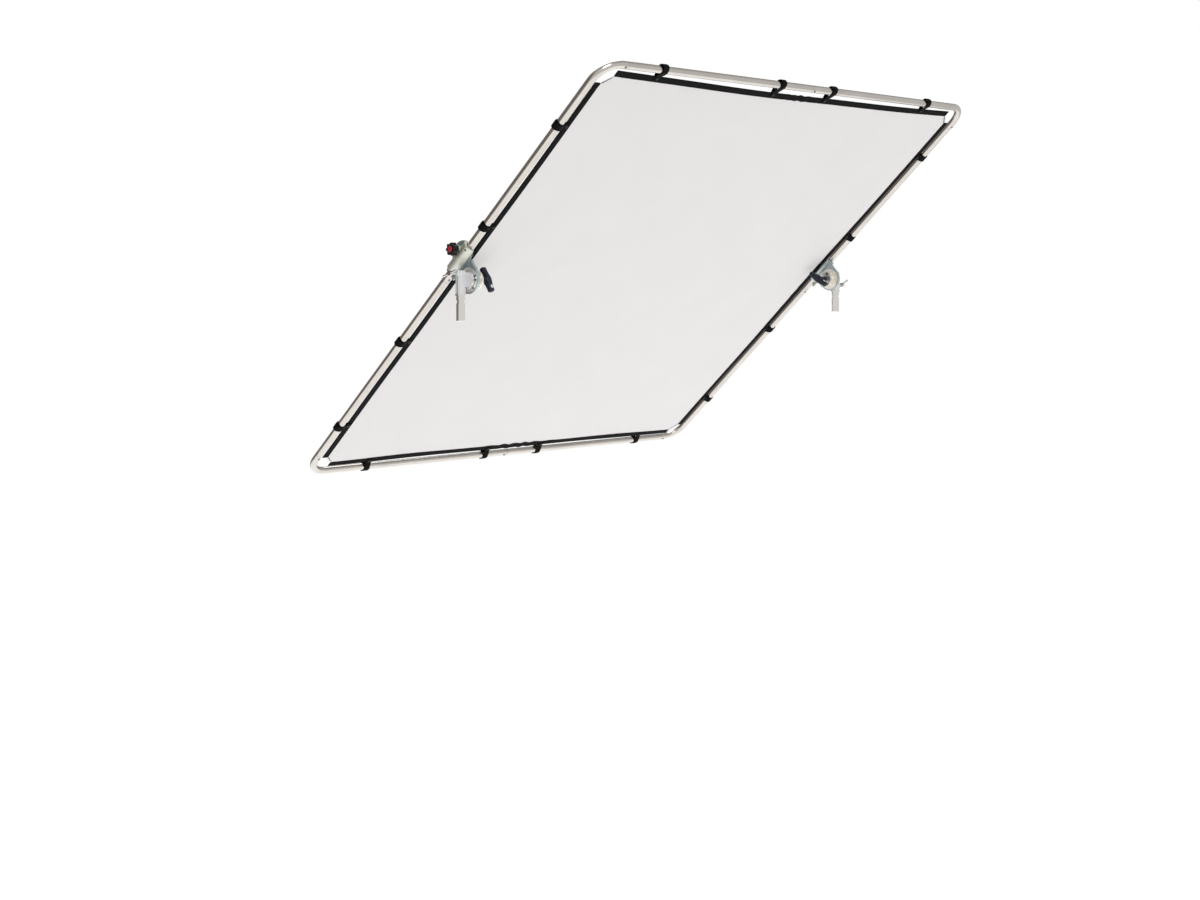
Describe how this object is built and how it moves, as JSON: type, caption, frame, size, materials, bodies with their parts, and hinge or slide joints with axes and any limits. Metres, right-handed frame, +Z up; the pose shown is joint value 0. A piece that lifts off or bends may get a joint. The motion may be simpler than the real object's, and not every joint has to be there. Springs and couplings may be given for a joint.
{
  "type": "scrim frame with tilt heads",
  "caption": "Square tube frame with a white diffusion cloth strapped in it, tilting between two clamp heads with stand spigots and pin bores.",
  "frame": {"origin": "centre of the frame, which is the centre of the whole part's box", "axes": "+X along the tilt axis from the left head to the right head, +Z up, the frame's top edge leans towards -Y"},
  "size_m": [2.117, 1.498, 1.3657],
  "materials": {
    "tube": "satin anodised drawn tube",
    "sleeve": "mill finish",
    "button": "plated spring steel",
    "diffusion": "white translucent diffusion cloth, matt",
    "hem": "black woven polyester webbing",
    "stud": "blackened press stud",
    "zinc_plate": "zinc plated steel, slightly blue green",
    "jaw_casting": "pale zinc plated casting",
    "pad": "black rubber",
    "bolt": "zinc plated bolt",
    "knob": "black glass filled nylon",
    "cap": "red moulded plastic",
    "hub_casting": "bead blasted cast aluminium",
    "handle": "blue black glass filled nylon",
    "friction": "friction fibre disc",
    "socket": "bright cast aluminium",
    "spigot": "chromed steel",
    "lock": "chromed steel"
  },
  "bodies": {
    "left_base": {"left_friction_ring": "friction", "left_pivot_bolt": "bolt", "left_socket_block": "socket", "left_stand_spigot": "spigot"},
    "scrim_frame": {"elbow_tube_top": "tube", "elbow_tube_right": "tube", "elbow_tube_bottom": "tube", "elbow_tube_left": "tube", "straight_tube_top": "tube", "straight_tube_right": "tube", "straight_tube_bottom": "tube", "straight_tube_left": "tube", "joint_sleeves": "sleeve", "diffusion_fabric": "diffusion", "corner_piping": "hem", "hem_top": "hem", "hem_right": "hem", "hem_bottom": "hem", "hem_left": "hem", "straps_top": "hem", "straps_right": "hem", "straps_bottom": "hem", "straps_left": "hem", "strap_studs": "stud", "left_main_plate": "zinc_plate", "left_plate_pad": "pad", "left_tilt_hub": "hub_casting", "left_hub_screws": "stud", "right_main_plate": "zinc_plate", "right_plate_pad": "pad", "right_tilt_hub": "hub_casting", "right_hub_screws": "stud"},
    "right_base": {"right_friction_ring": "friction", "right_pivot_bolt": "bolt", "right_socket_block": "socket", "right_stand_spigot": "spigot"},
    "left_jaw": {"left_clamp_jaw": "jaw_casting", "left_jaw_pad": "pad"},
    "left_knob": {"left_clamp_bolt": "bolt", "left_clamp_knob": "knob", "left_knob_cap": "cap"},
    "left_handle": {"left_tilt_handle": "handle"},
    "left_lock": {"left_lock_screw": "lock"},
    "right_jaw": {"right_clamp_jaw": "jaw_casting", "right_jaw_pad": "pad"},
    "right_knob": {"right_clamp_bolt": "bolt", "right_clamp_knob": "knob", "right_knob_cap": "cap"},
    "right_handle": {"right_tilt_handle": "handle"},
    "right_lock": {"right_lock_screw": "lock"},
    "corner_button_top": {"corner_button_top": "button"},
    "corner_button_right": {"corner_button_right": "button"},
    "corner_button_bottom": {"corner_button_bottom": "button"},
    "corner_button_left": {"corner_button_left": "button"},
    "mid_button_top": {"mid_button_top": "button"},
    "mid_button_right": {"mid_button_right": "button"},
    "mid_button_bottom": {"mid_button_bottom": "button"},
    "mid_button_left": {"mid_button_left": "button"}
  },
  "joints": [
    {"name": "tilt", "type": "hinge", "parent": "left_base", "child": "scrim_frame", "pos_m": [0, -0.11556, 0.01862], "axis": [1, 0, 0], "range_deg": [-47.7, 132.3]},
    {"name": "right_base_tilt", "type": "hinge", "parent": "scrim_frame", "child": "right_base", "pos_m": [0, -0.11556, 0.01862], "axis": [1, 0, 0], "range_deg": [-132.3, 47.7]},
    {"name": "left_jaw_slide", "type": "slide", "parent": "scrim_frame", "child": "left_jaw", "axis": [-1, 0, 0], "range_m": [0, 0.006]},
    {"name": "left_knob_turn", "type": "hinge", "parent": "left_jaw", "child": "left_knob", "pos_m": [-0.9875, -0.09614, 0.11722], "axis": [-1, 0, 0], "range_deg": [0, 1440]},
    {"name": "left_handle_turn", "type": "hinge", "parent": "scrim_frame", "child": "left_handle", "pos_m": [0, -0.11556, 0.01862], "axis": [1, 0, 0], "range_deg": [-30, 330]},
    {"name": "left_lock_turn", "type": "hinge", "parent": "left_base", "child": "left_lock", "pos_m": [-1.0085, -0.11556, 0.04012], "axis": [-1, 0, 0], "continuous": true},
    {"name": "right_jaw_slide", "type": "slide", "parent": "scrim_frame", "child": "right_jaw", "axis": [1, 0, 0], "range_m": [0, 0.006]},
    {"name": "right_knob_turn", "type": "hinge", "parent": "right_jaw", "child": "right_knob", "pos_m": [0.9875, -0.01922, 0.04723], "axis": [1, 0, 0], "range_deg": [0, 1440]},
    {"name": "right_handle_turn", "type": "hinge", "parent": "scrim_frame", "child": "right_handle", "pos_m": [0, -0.11556, 0.01862], "axis": [-1, 0, 0], "range_deg": [-30, 330]},
    {"name": "right_lock_turn", "type": "hinge", "parent": "right_base", "child": "right_lock", "pos_m": [1.0085, -0.11556, -0.00538], "axis": [1, 0, 0], "continuous": true},
    {"name": "corner_press_top", "type": "slide", "parent": "scrim_frame", "child": "corner_button_top", "axis": [0, 0.673, 0.7396], "range_m": [0, 0.003], "stiffness_N_per_m": 400, "springref_m": -0.004},
    {"name": "corner_press_right", "type": "slide", "parent": "scrim_frame", "child": "corner_button_right", "axis": [0, 0.673, 0.7396], "range_m": [0, 0.003], "stiffness_N_per_m": 400, "springref_m": -0.004},
    {"name": "corner_press_bottom", "type": "slide", "parent": "scrim_frame", "child": "corner_button_bottom", "axis": [0, 0.673, 0.7396], "range_m": [0, 0.003], "stiffness_N_per_m": 400, "springref_m": -0.004},
    {"name": "corner_press_left", "type": "slide", "parent": "scrim_frame", "child": "corner_button_left", "axis": [0, 0.673, 0.7396], "range_m": [0, 0.003], "stiffness_N_per_m": 400, "springref_m": -0.004},
    {"name": "mid_press_top", "type": "slide", "parent": "scrim_frame", "child": "mid_button_top", "axis": [0, 0.673, 0.7396], "range_m": [0, 0.003], "stiffness_N_per_m": 400, "springref_m": -0.004},
    {"name": "mid_press_right", "type": "slide", "parent": "scrim_frame", "child": "mid_button_right", "axis": [0, 0.673, 0.7396], "range_m": [0, 0.003], "stiffness_N_per_m": 400, "springref_m": -0.004},
    {"name": "mid_press_bottom", "type": "slide", "parent": "scrim_frame", "child": "mid_button_bottom", "axis": [0, 0.673, 0.7396], "range_m": [0, 0.003], "stiffness_N_per_m": 400, "springref_m": -0.004},
    {"name": "mid_press_left", "type": "slide", "parent": "scrim_frame", "child": "mid_button_left", "axis": [0, 0.673, 0.7396], "range_m": [0, 0.003], "stiffness_N_per_m": 400, "springref_m": -0.004}
  ],
  "couplings": [
    {"joint": "right_base_tilt", "follows": "tilt", "ratio": -1},
    {"joint": "left_knob_turn", "follows": "left_jaw_slide", "rad_per_m": 4188.8},
    {"joint": "right_knob_turn", "follows": "right_jaw_slide", "rad_per_m": 4188.8}
  ]
}
